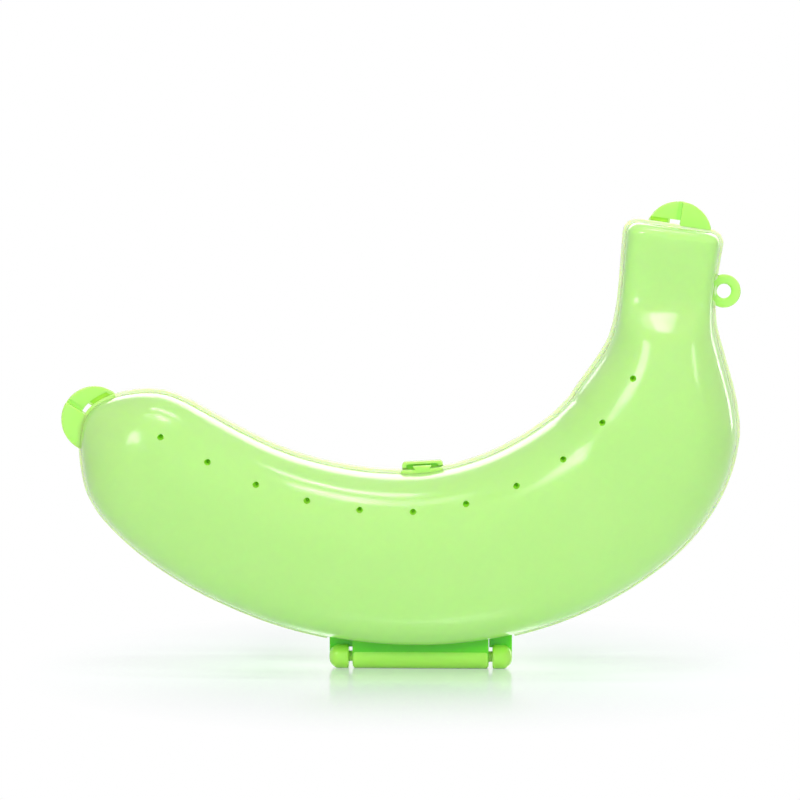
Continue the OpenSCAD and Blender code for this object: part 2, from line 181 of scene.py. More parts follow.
def shade(piece, crease=40):
    """Smooth shading that breaks at creases sharper than an angle in degrees."""
    for face in piece.data.polygons:
        face.use_smooth = True
    piece.data.set_sharp_from_angle(angle=math.radians(crease))


def make_piece(name, bm, material=None, crease=40):
    """An object of a mesh, shaded smooth, with its material."""
    mesh = bpy.data.meshes.new(name)
    bm.to_mesh(mesh)
    bm.free()
    piece = bpy.data.objects.new(name, mesh)
    bpy.context.scene.collection.objects.link(piece)
    shade(piece, crease)
    if material:
        mesh.materials.append(material)
    return piece


def combine(piece, other, operation):
    """Cuts another solid out of a piece, or joins it on, with that solid's material, and removes it."""
    step = piece.modifiers.new(operation, "BOOLEAN")
    step.object, step.operation, step.solver, step.material_mode = other, operation, "EXACT", "TRANSFER"
    solid = piece.evaluated_get(bpy.context.evaluated_depsgraph_get())
    mesh = bpy.data.meshes.new_from_object(solid)
    mesh.name = piece.name
    piece.modifiers.clear()
    piece.data = mesh
    bpy.data.objects.remove(other)
    shade(piece)


def linear(code):
    """The linear colour of an sRGB hex value."""
    channels = [int(code[i:i + 2], 16) / 255 for i in (1, 3, 5)]
    return [c / 12.92 if c <= 0.04045 else ((c + 0.055) / 1.055) ** 2.4 for c in channels] + [1]


def add(tree, kind, inputs=(), **settings):
    """Adds a node with its settings, and sets or links its inputs."""
    node = tree.nodes.new(kind)
    for key, value in settings.items():
        setattr(node, key, value)
    for key, value in dict(inputs).items():
        if isinstance(value, bpy.types.NodeSocket):
            tree.links.new(value, node.inputs[key])
        else:
            node.inputs[key].default_value = value
    return node


CLOUD_SIZE, BLOOM_SIZE, WAVE_SIZE, WAVE_HEIGHT = 28, 6, 11, 0.03


def moulded_polypropylene(name, body, flow, gloss=0.16, depth=5):
    """Glossy moulded polypropylene: pigment that lets light in to a depth in mm, faint flow clouds, and a skin
    that is a little wavy where the wall shrank in the mould, which bends the edges of the highlights."""
    material = bpy.data.materials.new(name)
    material.use_nodes = True
    tree = material.node_tree
    shader = tree.nodes["Principled BSDF"]
    place = add(tree, "ShaderNodeTexCoord").outputs["Object"]
    clouds = add(tree, "ShaderNodeTexNoise", {"Vector": place, "Scale": 1 / (CLOUD_SIZE * MM), "Detail": 3})
    colour = add(tree, "ShaderNodeMix", {"Factor": clouds.outputs["Fac"], "A": linear(body), "B": linear(flow)},
                 data_type="RGBA")
    tree.links.new(colour.outputs[2], shader.inputs["Base Color"])
    bloom = add(tree, "ShaderNodeTexNoise", {"Vector": place, "Scale": 1 / (BLOOM_SIZE * MM), "Detail": 4})
    rough = add(tree, "ShaderNodeMapRange", {"Value": bloom.outputs["Fac"], "From Min": 0.3, "From Max": 0.7,
                                             "To Min": gloss - 0.02, "To Max": gloss + 0.03})
    tree.links.new(rough.outputs["Result"], shader.inputs["Roughness"])
    wave = add(tree, "ShaderNodeTexNoise", {"Vector": place, "Scale": 1 / (WAVE_SIZE * MM), "Detail": 1})
    bump = add(tree, "ShaderNodeBump", {"Height": wave.outputs["Fac"], "Strength": 0.25,
                                        "Distance": WAVE_HEIGHT * MM})
    tree.links.new(bump.outputs["Normal"], shader.inputs["Normal"])
    shader.inputs["IOR"].default_value = 1.49
    shader.inputs["Subsurface Weight"].default_value = 0.8
    shader.inputs["Subsurface Radius"].default_value = (0.8, 1.0, 0.35)
    shader.inputs["Subsurface Scale"].default_value = depth * MM
    return material


shell_plastic = moulded_polypropylene("gloss_moulded_polypropylene_shell", "#B4F882", "#BAFA8A")
# A deeper green for the walls of the vents, the tabs' notch and groove and the clasp pocket: painted shade.
recess_shade_plastic = moulded_polypropylene("gloss_moulded_polypropylene_painted_recess_shade", "#92E432", "#9CE840")
VENT_COUNT = 11
VENT_RADIUS = 0.8
VENT_FLARE = 0.25
VENT_DRAFT = 0.62
VENT_PITCH = 15.5
VENT_INSET = 9.3
VENT_DRIFT = 2.4
VENT_START = 20.7
VENT_PAST = 6.0
VENT_TRIES = 24


def vent_offset(place):
    """Distance of the row of vents from the spine, drifting from the concave edge towards its ends."""
    return smooth(HALF_WIDTHS, place) - VENT_INSET - VENT_DRIFT * (place / BELLY - 1) ** 2


def vent_point(place):
    """A point on the row of vents, (x, z) in mm."""
    return beside(place, vent_offset(place))


def next_vent(place):
    """The place one pitch further along the row of vents."""
    low, high = place, place + 2 * VENT_PITCH
    for _ in range(VENT_TRIES):
        middle = (low + high) / 2
        if math.dist(vent_point(middle), vent_point(place)) < VENT_PITCH:
            low = middle
        else:
            high = middle
    return low


def make_shell(name, side, body):
    """A half's wall, lofted with its skin and lining in one, and its vents, which narrow towards the inside."""
    rows = []
    for outer, inner in zip(stations(0), stations(WALL)):
        skin = section(outer, 0, side)
        lining = section(inner, WALL, side)
        rows.append(skin + lining[::-1] + skin[:1])
    shell = make_piece(name, loft(rows), shell_plastic)
    cores = bmesh.new()
    place = VENT_START
    for _ in range(VENT_COUNT):
        x, z = vent_point(place)
        station = (place, 1, 0, 1)
        wide, power = half_width(station, 0), smooth(SQUARENESS, place)
        rise = (1 - (vent_offset(place) / wide) ** power) ** (1 / power)
        surface = BAND + crown(station, 0) * rise
        flared, narrow = VENT_RADIUS + VENT_FLARE, VENT_RADIUS - VENT_DRAFT
        profile = [(0, BAND), (narrow, BAND), (narrow, surface - WALL), (VENT_RADIUS, surface - VENT_FLARE),
                   (flared, surface + VENT_FLARE / 2), (flared, surface + VENT_PAST), (0, surface + VENT_PAST)]
        turned(cores, profile, (x, 0, z), (0, side, 0), steps=24)
        place = next_vent(place)
    # The cores pass their deeper green, painted shade, to the vents' walls.
    combine(shell, make_piece("vent_cores", cores, recess_shade_plastic), "DIFFERENCE")
    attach(shell, body)
    return shell


FRONT, REAR = -1, 1
front_shell = make_shell("front_half_shell", FRONT, "front_half")
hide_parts("front_shell")
rear_shell = make_shell("rear_half_shell", REAR, "rear_half")
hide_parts("rear_shell")

# Rims. Each half carries a narrow flange round its parting face, moulded with the shell, with a rounded
# outer edge and a small fillet at its foot. It stops either side of the hinge and beside the lanyard ring.
# It is painted paler than the shell, as painted light coming through its thin edge.
RIM_WIDTH = 1.0
RIM_THICKNESS = 1.6
RIM_ROUND = 0.4
RIM_SEAM = 0.12
RIM_ROOT, ROOT_LIFT, ROOT_RISE = 0.6, 0.08, 0.05
RIM_GAP = 0.5
HINGE_HALF = 27.0
HAIR = 0.02
RING_FROM_END = 17.5
RING_RADIUS = 4.9
rim_glow_plastic = moulded_polypropylene("gloss_moulded_polypropylene_rim_painted_glow", "#E0F5BC", "#E8F8C8", depth=1)


def outline(inset):
    """The body's edge at the parting face, from the tip along the concave edge and back along the convex one."""
    edge = [station for station in stations(inset) if station[3] == 1]
    there = [beside(station[0], half_width(station, inset)) for station in edge]
    back = [beside(station[0], -half_width(station, inset)) for station in edge[:0:-1]]
    return there + back


def swept(points_at, count):
    """A ring of one section, carried round an outline."""
    return loft([points_at(i) + points_at(i)[:1] for i in range(count)])


def outward(line, i):
    """The direction away from the body at a point of an outline."""
    (xa, za), (xb, zb) = line[i - 1], line[(i + 1) % len(line)]
    run = math.hypot(xb - xa, zb - za)
    return -(zb - za) / run, (xb - xa) / run


def rim_path():
    """The outline with its outward directions, opened at the hinge, from its left end round to its right end."""
    line = outline(0)
    full = [(point, outward(line, i)) for i, point in enumerate(line)]
    gap = HINGE_HALF + RIM_GAP
    low = [i for i, (x, z) in enumerate(line) if abs(x) < gap and z < BELLY_HEIGHT]
    right, left = low[0], low[-1]
    ends = []
    for inner, outer, x in ((left, left + 1, -gap), (right, right - 1, gap)):
        (xa, za), (xb, zb) = line[inner], line[outer]
        share = (x - xa) / (xb - xa)
        ends.append(((x, za + share * (zb - za)), full[outer][1]))
    return ends[:1] + full[left + 1:] + full[:right] + ends[1:]


def arc(centre, radius, start, stop, steps=4):
    """Points on an arc between two angles in degrees."""
    return [(centre[0] + radius * math.cos(math.radians(start + (stop - start) * i / steps)),
             centre[1] + radius * math.sin(math.radians(start + (stop - start) * i / steps)))
            for i in range(steps + 1)]


def ring_block():
    """A block across the stretch of the rim where the ring stands."""
    place = SPINE_LENGTH - RING_FROM_END
    x, z = beside(place, -smooth(HALF_WIDTHS, place) - RIM_WIDTH)
    bm = bmesh.new()
    bmesh.ops.create_cube(bm, size=MM, matrix=Matrix.Translation(Vector((x, 0, z)) * MM)
                          @ Matrix.Rotation(-spine(place)[2], 4, "Y")
                          @ Matrix.Diagonal((2 * RING_RADIUS, 4 * RIM_THICKNESS, 4 * RIM_WIDTH, 1)))
    return make_piece("ring_block", bm)


def make_flange(name, side):
    """The flange's section, rooted in the wall, carried round the outline."""
    profile = [(-RIM_ROOT, ROOT_LIFT), (HAIR, 0), (RIM_WIDTH - RIM_SEAM, 0), (RIM_WIDTH, RIM_SEAM)]
    profile += arc((RIM_WIDTH - RIM_ROUND, RIM_THICKNESS - RIM_ROUND), RIM_ROUND, 0, 90)
    profile += arc((RIM_ROUND, RIM_THICKNESS + RIM_ROUND), RIM_ROUND, 270, 180)[1:]
    profile += [(-RIM_ROOT, RIM_THICKNESS + RIM_ROUND + ROOT_RISE)]
    path = rim_path()

    def points_at(i):
        (x, z), (ox, oz) = path[i]
        return [(x + ox * out, side * deep, z + oz * out) for out, deep in profile]
    return make_piece(name, swept(points_at, len(path)), rim_glow_plastic)


def make_rim(name, side, body):
    """A half's flange, broken where the ring stands."""
    rim = make_flange(name, side)
    combine(rim, ring_block(), "DIFFERENCE")
    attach(rim, body)
    return rim


front_rim = make_rim("front_rim_flange", FRONT, "front_half")
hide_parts("front_rim")
rear_rim = make_rim("rear_rim_flange", REAR, "rear_half")
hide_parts("rear_rim")

# Locating lip. A thin wall moulded with the rear shell, inside its edge. It stands up past the parting face
# and slides into the front half, so that the closed halves line up. Its top edge is rounded as a lead-in.
LIP_THICKNESS = 0.9
LIP_HEIGHT = 1.2
LIP_ROOT = 1.8
LIP_GAP = 0.15
LIP_SINK, LIP_SLOPE = 0.3, 0.1
LIP_LEAD, LIP_CORNER = 0.35, 0.2
OUTER_FALL, INNER_FALL = 0.05, 0.08
lip_outer, lip_inner = WALL + LIP_GAP, WALL + LIP_GAP + LIP_THICKNESS
lip_section = [(WALL - LIP_SINK, LIP_SLOPE), (lip_outer, HAIR), (lip_outer, LIP_LEAD - LIP_HEIGHT),
               (lip_outer + LIP_CORNER, OUTER_FALL - LIP_HEIGHT), (lip_outer + LIP_THICKNESS / 2, -LIP_HEIGHT),
               (lip_inner - LIP_CORNER, INNER_FALL - LIP_HEIGHT), (lip_inner, LIP_LEAD - LIP_HEIGHT),
               (lip_inner, LIP_ROOT - LIP_THICKNESS), (WALL - LIP_SINK, LIP_ROOT)]
lip_lines = {inset: outline(inset) for inset, deep in lip_section}


def lip_points(i):
    """The lip's section at a point of the outline."""
    i %= len(lip_lines[lip_outer])
    return [(lip_lines[inset][i][0], deep, lip_lines[inset][i][1]) for inset, deep in lip_section]


lip_mesh = swept(lip_points, len(lip_lines[lip_outer]) + 1)
lip = make_piece("locating_lip_wall", lip_mesh, shell_plastic, crease=50)
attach(lip, "rear_half")
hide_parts("locating_lip")

# Pull tabs. Each half has a half-disc tab at both ends, moulded with the rim, and each pair makes a split
# disc that two fingers pull apart. The rear tabs have a notch and a groove at the foot, and a step beside
# the split that runs on under the front tab's edge. The tabs are painted a yellower, deeper green than the
# shells, as painted light passing through the thin plates, and the walls of the notch and groove a deeper
# green still, as painted shade. At the tip the rim takes the tabs' colour in place of its painted glow.
TAB_RADIUS = 9.7
TAB_THICKNESS = 1.6
TAB_EDGE = 0.35
TAB_LAP = 0.8
TAB_ROOT = 0.4
TAB_STEPS = 64
STEP_WIDTH, STEP_DEPTH = 1.2, 0.5
NOTCH_WIDTH, NOTCH_HEIGHT = 3.0, 1.2
GROOVE_LENGTH, GROOVE_DEPTH, GROOVE_LAND = 5.0, 0.9, 0.6
TIP_INSET, TIP_SHIFT = 2.2, 0.0
NECK_INSET, NECK_SHIFT = 2.0, -1.4
TIP_BLEND = 0.3
PAST = 1.0
tab_painted_translucence_plastic = moulded_polypropylene("gloss_moulded_polypropylene_tabs_painted_translucence", "#B4EC6E", "#BCF07A", 0.14, depth=2)


def end_frame(tip):
    """The frame at an end of the spine, x outwards and z towards the concave side."""
    x, z, heading = spine(0 if tip else SPINE_LENGTH)
    turn = Matrix.Rotation(-heading, 4, "Y") @ Matrix.Scale(-1 if tip else 1, 4, (1, 0, 0))
    return Matrix.Translation(Vector((x, 0, z)) * MM) @ turn


def slab(points, low, high, edge=0.0, segments=3):
    """A flat solid of an outline, (x, z) in mm, between two depths, with its edges rounded."""
    bm = bmesh.new()
    bm.faces.new([bm.verts.new(Vector((x, low, z)) * MM) for x, z in points])
    raised = bmesh.ops.extrude_face_region(bm, geom=bm.faces[:])
    bmesh.ops.translate(bm, verts=[v for v in raised["geom"] if isinstance(v, bmesh.types.BMVert)],
                        vec=(0, (high - low) * MM, 0))
    bmesh.ops.recalc_face_normals(bm, faces=bm.faces)
    if edge:
        corners = [corner for corner in bm.edges if corner.calc_face_angle(0) > math.radians(45)]
        bmesh.ops.bevel(bm, geom=corners, offset=edge * MM, segments=segments, profile=0.5, affect="EDGES",
                        material=-1)
    return bm


def prism(reach, low, high):
    """A solid as wide as the body's edge and a reach more, between two depths."""
    line = outline(0)
    edge = [(x + reach * outward(line, i)[0], z + reach * outward(line, i)[1]) for i, (x, z) in enumerate(line)]
    return make_piece("prism", slab(edge, low, high))


def strip(tip, low, high, depth):
    """A block along the spine at an end, between two distances from it, and down to a depth."""
    bm = bmesh.new()
    bmesh.ops.create_cube(bm, size=MM, matrix=end_frame(tip)
                          @ Matrix.Translation(Vector((0, (depth - PAST) / 2, (low + high) / 2)) * MM)
                          @ Matrix.Diagonal((4 * TAB_RADIUS, depth + PAST, high - low, 1)))
    bmesh.ops.recalc_face_normals(bm, faces=bm.faces)
    return make_piece("strip", bm)


def make_tab(name, tip, side, body, node):
    """Half a disc at an end of the body. A rear one reaches past the split and has the notch, groove and step."""
    inset, shift = (TIP_INSET, TIP_SHIFT) if tip else (NECK_INSET, NECK_SHIFT)
    past = math.degrees(math.asin(TAB_LAP / TAB_RADIUS))
    turn = (-past, 180 + past) if side == REAR else (180, 360)
    half_disc = arc((-inset, shift), TAB_RADIUS, *turn, TAB_STEPS)
    bm = slab(half_disc, 0, side * TAB_THICKNESS, TAB_EDGE, segments=4)
    bmesh.ops.transform(bm, verts=bm.verts, matrix=end_frame(tip))
    bmesh.ops.recalc_face_normals(bm, faces=bm.faces)
    tab = make_piece(name, bm, tab_painted_translucence_plastic)
    combine(tab, prism(-TAB_ROOT, -2 * TAB_THICKNESS, 2 * TAB_THICKNESS), "DIFFERENCE")
    if side == REAR:
        groove = shift + NOTCH_WIDTH + GROOVE_LAND
        for low, high, depth in ((shift, shift + NOTCH_WIDTH, TAB_THICKNESS + PAST),
                                 (groove, groove + GROOVE_LENGTH, GROOVE_DEPTH)):
            foot = strip(tip, low, high, depth)
            # The cutters pass their deeper green, painted shade, to the notch and groove walls.
            foot.data.materials.append(recess_shade_plastic)
            combine(foot, prism(RIM_WIDTH + NOTCH_HEIGHT, -2 * PAST, 2 * TAB_THICKNESS), "INTERSECT")
            combine(tab, foot, "DIFFERENCE")
        combine(tab, strip(tip, shift - 2 * TAB_LAP, shift + STEP_WIDTH, STEP_DEPTH), "DIFFERENCE")
    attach(tab, body)
    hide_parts(node)


make_tab("front_tip_pull_tab", True, FRONT, "front_half", "front_tip_tab")
make_tab("rear_tip_pull_tab", True, REAR, "rear_half", "rear_tip_tab")
make_tab("front_neck_pull_tab", False, FRONT, "front_half", "front_neck_tab")
make_tab("rear_neck_pull_tab", False, REAR, "rear_half", "rear_neck_tab")
tip_disc = end_frame(True) @ (Vector((-TIP_INSET, 0, TIP_SHIFT)) * MM)
for rim in (front_rim, rear_rim):
    rim.data.materials.append(tab_painted_translucence_plastic)
    for face in rim.data.polygons:
        if (face.center - tip_disc).length < (TAB_RADIUS + TIP_BLEND) * MM:
            face.material_index = 1

# Lanyard ring. A small eye on the neck for a cord, moulded with the rear rim, with rounded edges all round
# and a foot that carries the rim on behind it.
RING_STAND = 2.3
RING_HOLE = 2.1
RING_THICKNESS = 2.4
RING_ROUND = 0.8
ring_mesh = bmesh.new()
inside, outside = RING_HOLE + RING_ROUND, RING_RADIUS - RING_ROUND
low, high = RING_ROUND, RING_THICKNESS - RING_ROUND
ring_section = (arc((outside, low), RING_ROUND, -90, 0) + arc((outside, high), RING_ROUND, 0, 90)
                + arc((inside, high), RING_ROUND, 90, 180) + arc((inside, low), RING_ROUND, 180, 270))
ring_place = SPINE_LENGTH - RING_FROM_END
ring_x, ring_z = beside(ring_place, -smooth(HALF_WIDTHS, ring_place) - RIM_WIDTH - RING_STAND)
turned(ring_mesh, ring_section + ring_section[:1], (ring_x, 0, ring_z), (0, 1, 0), steps=64)
# The eye takes the tabs' painted green, for light passing through thin plastic.
ring = make_piece("lanyard_eye", ring_mesh, tab_painted_translucence_plastic)
ring_foot = make_flange("lanyard_eye_foot", REAR)
combine(ring_foot, ring_block(), "INTERSECT")
combine(ring, ring_foot, "UNION")
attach(ring, "rear_half")
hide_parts("lanyard_ring")

# Hinge. The front half's barrel turns on a pin between the rear half's two knuckles, and flat leaves join
# them to the undersides of the shells. A small web closes each gap behind, above the pin, which is a
# separate moulding pressed into the knuckles.
HINGE_HEIGHT = 3.5
BARREL_LENGTH = 40.2
BARREL_RADIUS = 3.6
BARREL_ROUND = 0.9
KNUCKLE_LENGTH = 5.8
KNUCKLE_ROUND = 3.0
KNUCKLE_INNER = 0.5
KNUCKLE_WALL = 1.4
LEAF_THICKNESS = 3.2
LEAF_ROOT = 0.9
LEAF_SHY = 0.05
WEB_FOOT, WEB_INSET = 6.2, 0.3
WEB_GAP, WEB_LAP = 0.1, 1.0
PIN_RADIUS = 1.6
PIN_RUN, PIN_HOLD = 0.06, 0.02
PIN_EDGE, PIN_CREASE, PIN_FLAT = 0.3, 35, 0.5
# The barrel, knuckles and pin are painted a deeper green than the shells, as painted shade under the belly.
hinge_shade_plastic = moulded_polypropylene("gloss_moulded_polypropylene_hinge", "#A6EC58", "#AEEE62", 0.14)
# The shells shade the leaves, so their green looks deeper.
leaf_plastic = moulded_polypropylene("gloss_moulded_polypropylene_hinge_leaf", "#64DA10", "#6CDE18", 0.14)


def belly_edge(x):
    """Height of the body's convex edge over the hinge at x."""
    line = [point for point in outline(0) if point[1] < BELLY_HEIGHT]
    for (xa, za), (xb, zb) in zip(line, line[1:]):
        if min(xa, xb) <= x <= max(xa, xb):
            return za + (zb - za) * (x - xa) / (xb - xa)


def make_leaf(left, right, side, foot=HINGE_HEIGHT, inset=0.0):
    """A flat leaf from the hinge line, or a foot above it, up into the underside of a shell."""
    steps = 24
    front, back = side * (HAIR + inset), side * (LEAF_THICKNESS - inset)
    rows = []
    for i in range(steps + 1):
        x = left + (right - left) * i / steps
        top = belly_edge(x) + LEAF_ROOT - inset
        rows.append([(x, front, foot), (x, back, foot), (x, back, top), (x, front, top), (x, front, foot)])
    return make_piece("leaf", loft(rows), leaf_plastic)


def make_hinge_piece(name, profile, start, aim, leaf, side, body, node):
    """A turned barrel or knuckle, flat where it stands on the table, joined to its leaf and, for a rear knuckle, a
    web behind.
    """
    bm = bmesh.new()
    turned(bm, profile, (start, 0, HINGE_HEIGHT), (aim, 0, 0))
    bmesh.ops.bisect_plane(bm, geom=bm.verts[:] + bm.edges[:] + bm.faces[:], plane_co=(0, 0, 0),
                           plane_no=(0, 0, -1), clear_outer=True)
    bmesh.ops.holes_fill(bm, edges=[edge for edge in bm.edges if edge.is_boundary])
    bmesh.ops.recalc_face_normals(bm, faces=bm.faces)
    piece = make_piece(name, bm, hinge_shade_plastic)
    combine(piece, make_leaf(*leaf, side), "UNION")
    if side == REAR:
        near, far = sorted((aim * (BARREL_LENGTH / 2 + WEB_GAP), start + aim * WEB_LAP))
        combine(piece, make_leaf(near, far, side, WEB_FOOT, WEB_INSET), "UNION")
    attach(piece, body)
    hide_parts(node)


half = BARREL_LENGTH / 2
bore = PIN_RADIUS + PIN_RUN
barrel_section = ([(bore, 0)] + arc((BARREL_RADIUS - BARREL_ROUND, BARREL_ROUND), BARREL_ROUND, -90, 0)
                  + arc((BARREL_RADIUS - BARREL_ROUND, BARREL_LENGTH - BARREL_ROUND), BARREL_ROUND, 0, 90)
                  + [(bore, BARREL_LENGTH), (bore, 0)])
make_hinge_piece("hinge_barrel_with_leaf", barrel_section, -half, 1, (LEAF_SHY - half, half - LEAF_SHY), FRONT,
                 "front_half", "hinge_barrel")
socket = PIN_RADIUS + PIN_HOLD
socket_end = KNUCKLE_LENGTH - KNUCKLE_WALL
knuckle_section = ([(socket, 0)] + arc((BARREL_RADIUS - KNUCKLE_INNER, KNUCKLE_INNER), KNUCKLE_INNER, -90, 0)
                   + arc((BARREL_RADIUS - KNUCKLE_ROUND, KNUCKLE_LENGTH - KNUCKLE_ROUND), KNUCKLE_ROUND, 0, 90, 10)
                   + [(0, KNUCKLE_LENGTH), (0, socket_end), (socket, socket_end), (socket, 0)])
knuckle_start = HINGE_HALF - KNUCKLE_LENGTH
make_hinge_piece("left_knuckle_with_leaf", knuckle_section, -knuckle_start, -1,
                 (LEAF_SHY - HINGE_HALF, -knuckle_start - LEAF_SHY), REAR, "rear_half", "left_knuckle")
make_hinge_piece("right_knuckle_with_leaf", knuckle_section, knuckle_start, 1,
                 (knuckle_start + LEAF_SHY, HINGE_HALF - LEAF_SHY), REAR, "rear_half", "right_knuckle")
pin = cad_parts["hinge_pin"]
pin.data.materials.clear()
pin.data.materials.append(hinge_shade_plastic)
weld = pin.modifiers.new("weld", "WELD")
weld.merge_threshold = WELD * MM
flats = pin.modifiers.new("flats", "DECIMATE")
flats.decimate_type, flats.angle_limit = "DISSOLVE", math.radians(PIN_FLAT)
rounds = pin.modifiers.new("rounds", "BEVEL")
rounds.width, rounds.segments = PIN_EDGE * MM, 3
rounds.limit_method, rounds.angle_limit = "ANGLE", math.radians(PIN_CREASE)
rounds.harden_normals = True
shade(pin, PIN_CREASE)

# Clasp. A hooded keeper on the rear rim reaches over the front rim and holds a wedge-shaped tongue, which
# snaps into its pocket and stands on a pad that runs forward over the shell. Both are moulded with their rims.
CLASP_WIDTH = 12.0
CLASP_HEIGHT = 2.2
CLASP_CORNER = 1.1
CLASP_ROOF = 0.8
CLASP_CHEEK = 1.3
CLASP_GAP = 0.35
HOOD_ROOT, HOOD_EDGE = 1.3, 0.3
POCKET_FOOT, POCKET_CORNER, POCKET_DEPTH = 2.0, 0.5, 0.05
WEDGE_HEAD, WEDGE_FOOT = 5.6, 2.6
WEDGE_ROOT, WEDGE_EDGE = 0.5, 0.25
PAD_REACH, PAD_EDGE = 4.2, 0.6
PAD_LAP, PAD_SINK = 0.4, 0.8
CLASP_PLACE = BELLY + 2.0
clasp_edge = smooth(HALF_WIDTHS, CLASP_PLACE)
spine_per_edge = 1 / math.dist(beside(CLASP_PLACE - 0.5, clasp_edge), beside(CLASP_PLACE + 0.5, clasp_edge))


def clasp_frame():
    """The frame on the rim over the belly, x along the rim and z outwards."""
    x, z = beside(CLASP_PLACE, clasp_edge + RIM_WIDTH)
    return Matrix.Translation(Vector((x, 0, z)) * MM) @ Matrix.Rotation(-spine(CLASP_PLACE)[2], 4, "Y")


def plate(name, points, low, high, edge, plastic):
    """A flat piece of an outline in the clasp's frame, between two depths, with rounded edges."""
    bm = slab(points, low, high, edge)
    bmesh.ops.transform(bm, verts=bm.verts, matrix=clasp_frame())
    return make_piece(name, bm, plastic)


def make_pad():
    """The tongue's pad, with a rounded front and rounded ends, along the rim's outer edge."""
    rows = []
    steps, ends = 20, 6
    reach = CLASP_WIDTH / 2 - PAD_EDGE
    places = ([(-reach - PAD_EDGE * math.cos(math.pi / 2 * i / ends), math.sin(math.pi / 2 * i / ends))
               for i in range(ends)] + [(-reach + 2 * reach * i / steps, 1) for i in range(steps + 1)]
              + [(reach + PAD_EDGE * math.sin(math.pi / 2 * i / ends), math.cos(math.pi / 2 * i / ends))
                 for i in range(1, ends + 1)])
    back = PAD_LAP - RIM_THICKNESS
    for along, full in places:
        top = RIM_WIDTH - PAD_EDGE * (1 - full)
        front = PAD_REACH - PAD_EDGE * (1 - full)
        edge = [(back, top)] + arc((PAD_EDGE - front, top - PAD_EDGE), PAD_EDGE, 90, 180, 6)
        edge += [(-front, -PAD_SINK), (back, -PAD_SINK)]
        place = CLASP_PLACE + along * spine_per_edge
        rows.append([])
        for deep, rise in edge + edge[:1]:
            x, z = beside(place, smooth(HALF_WIDTHS, place) + rise)
            rows[-1].append((x, deep, z))
    return make_piece("pad", loft(rows), tab_painted_translucence_plastic)


width, height, corner = CLASP_WIDTH / 2, CLASP_HEIGHT, CLASP_CORNER
hood = ([(-width, -HOOD_ROOT), (width, -HOOD_ROOT)] + arc((width - corner, height - corner), corner, 0, 90, 6)
        + arc((corner - width, height - corner), corner, 90, 180, 6))
# Keeper, tongue and pad take the tabs' painted green; the pocket's walls take the deeper painted shade.
keeper = plate("clasp_keeper_hood", hood, -RIM_THICKNESS, RIM_THICKNESS, HOOD_EDGE, tab_painted_translucence_plastic)
combine(keeper, prism(RIM_WIDTH + CLASP_GAP, -3 * RIM_THICKNESS, 0), "DIFFERENCE")
inner, roof, corner = width - CLASP_CHEEK, height - CLASP_ROOF, POCKET_CORNER
pocket = ([(-inner, -POCKET_FOOT), (inner, -POCKET_FOOT)] + arc((inner - corner, roof - corner), corner, 0, 90)
          + arc((corner - inner, roof - corner), corner, 90, 180))
combine(keeper, plate("pocket", pocket, -2 * RIM_THICKNESS, POCKET_DEPTH, 0, recess_shade_plastic), "DIFFERENCE")
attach(keeper, "rear_half")
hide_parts("clasp_keeper")
head, foot, top, root = WEDGE_HEAD / 2, WEDGE_FOOT / 2, roof - CLASP_GAP, -RIM_WIDTH - WEDGE_ROOT
wedge = [(-foot, root), (foot, root), (head, top), (-head, top)]
tongue = plate("clasp_tongue_wedge", wedge, -PAD_REACH, -CLASP_GAP, WEDGE_EDGE, tab_painted_translucence_plastic)
combine(tongue, make_pad(), "UNION")
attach(tongue, "front_half")
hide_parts("clasp_tongue")

# Studio. A white table that mirrors the hinge faintly, in a white surround. Lamps overhead draw the long
# highlight along the ridge, lamps in front the glints at the tip and the shoulder, and lamps behind the pale
# line along the edges. The broad fill in front leaves no highlight.
FLOOR_SIZE = 3.0
MIRROR_DEPTH = 0.13
MIRROR_HALF, MIRROR_CORE = 0.046, 0.6
MIRROR_SHARE, MIRROR_ROUGHNESS = 0.6, 0.16
WHITE_FROM, WHITE_TO, WHITE_LEAST = 0.03, 0.12, 0.25
SURROUND_LIGHT = 0.15


def in_sight(tree):
    """Where the camera sees a surface: straight, mirrored in gloss or through something clear."""
    path = add(tree, "ShaderNodeLightPath").outputs
    direct = add(tree, "ShaderNodeMath", {0: path["Is Camera Ray"], 1: path["Is Glossy Ray"]}, operation="MAXIMUM")
    seen = add(tree, "ShaderNodeMath", {0: direct.outputs[0], 1: path["Is Transmission Ray"]}, operation="MAXIMUM")
    return seen.outputs[0]


floor_mesh = bmesh.new()
bmesh.ops.create_grid(floor_mesh, x_segments=1, y_segments=1, size=FLOOR_SIZE)
floor_finish = bpy.data.materials.new("white_gloss_table")
floor_finish.use_nodes = True
tree = floor_finish.node_tree
tree.nodes.clear()
place = add(tree, "ShaderNodeTexCoord").outputs["Object"]
aside = add(tree, "ShaderNodeVectorMath", {0: place}, operation="ABSOLUTE")
axes = add(tree, "ShaderNodeSeparateXYZ", {"Vector": aside.outputs["Vector"]})
fade = add(tree, "ShaderNodeMapRange", {"Value": axes.outputs["Y"], "From Min": MIRROR_DEPTH, "From Max": 0.0,
                                        "To Min": 0.0, "To Max": MIRROR_SHARE}, clamp=True)
under = add(tree, "ShaderNodeMapRange", {"Value": axes.outputs["X"], "From Min": MIRROR_HALF,
                                         "From Max": MIRROR_CORE * MIRROR_HALF}, clamp=True)
share = add(tree, "ShaderNodeMath", {0: fade.outputs["Result"], 1: under.outputs["Result"]}, operation="MULTIPLY")
matt = add(tree, "ShaderNodeBsdfDiffuse", {"Color": linear("#F2F6FC")})
mirror = add(tree, "ShaderNodeBsdfGlossy", {"Color": linear("#FFFFFF"), "Roughness": MIRROR_ROUGHNESS})
table = add(tree, "ShaderNodeMixShader", {0: share.outputs[0], 1: matt.outputs[0], 2: mirror.outputs[0]})
